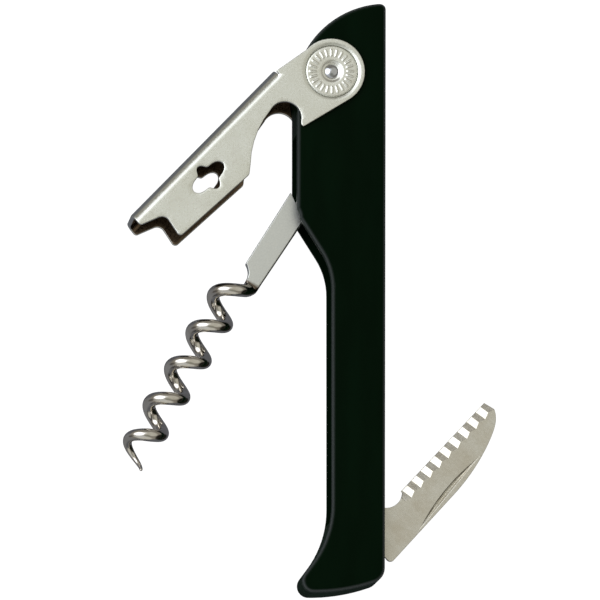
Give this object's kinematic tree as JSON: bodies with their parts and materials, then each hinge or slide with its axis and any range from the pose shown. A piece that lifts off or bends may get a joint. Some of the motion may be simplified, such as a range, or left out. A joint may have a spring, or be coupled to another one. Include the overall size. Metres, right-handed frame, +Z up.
{
  "type": "waiters corkscrew",
  "caption": "Folding bar corkscrew: black slotted handle, folded-sheet bottle lever with cap hook and notched foot, helical worm and serrated foil knife.",
  "frame": {"origin": "middle of the underside of the whole tool at rest, lying on its back with the lever, worm and knife part open", "axes": "+Z up out of the front of the tool, +Y along the handle towards the nose, +X towards the knife side"},
  "size_m": [0.0722, 0.1148, 0.014],
  "materials": {
    "black_shell": "smooth black moulded plastic, low gloss",
    "black_core": "black moulded plastic",
    "liner_steel": "blanked steel plate, rolled finish",
    "pin_steel": "turned steel",
    "brass_bush": "turned brass",
    "nylon_spacer": "natural nylon",
    "lever_steel": "nickel plated, satin, tumbled edges",
    "rivet_steel": "nickel plated, polished by forming",
    "disc_steel": "nickel plated, satin, ring of plain ticks",
    "worm_chrome": "bright plated wire, flattened satin shank",
    "blade_steel": "satin stainless steel, ground serrations"
  },
  "bodies": {
    "handle": {"front_shell": "black_shell", "rear_shell": "black_shell", "core_block": "black_core", "front_liner": "liner_steel", "rear_liner": "liner_steel", "worm_pivot_pin": "pin_steel", "knife_pivot_pin": "pin_steel", "lever_bush": "brass_bush", "frame_rivets": "pin_steel", "front_worm_spacer": "nylon_spacer", "rear_worm_spacer": "nylon_spacer", "front_knife_washer": "brass_bush", "rear_knife_washer": "brass_bush"},
    "lever": {"lever": "lever_steel", "lever_rivet": "rivet_steel", "front_pivot_disc": "disc_steel", "rear_pivot_disc": "disc_steel"},
    "worm": {"worm": "worm_chrome"},
    "knife": {"knife_blade": "blade_steel"}
  },
  "joints": [
    {"name": "lever_hinge", "type": "hinge", "parent": "handle", "child": "lever", "pos_m": [0.00358, 0.04371, 0.007], "axis": [0, 0, -1], "range_deg": [-43.8, 87]},
    {"name": "worm_hinge", "type": "hinge", "parent": "handle", "child": "worm", "pos_m": [0.00358, 0.02791, 0.007], "axis": [0, 0, -1], "range_deg": [-30.1, 59.8]},
    {"name": "knife_hinge", "type": "hinge", "parent": "handle", "child": "knife", "pos_m": [0.00948, -0.04749, 0.007], "axis": [0, 0, -1], "range_deg": [-43, 47]}
  ],
  "couplings": [
    {"joint": "worm_hinge", "follows": "lever_hinge", "ratio": 0.6872}
  ]
}
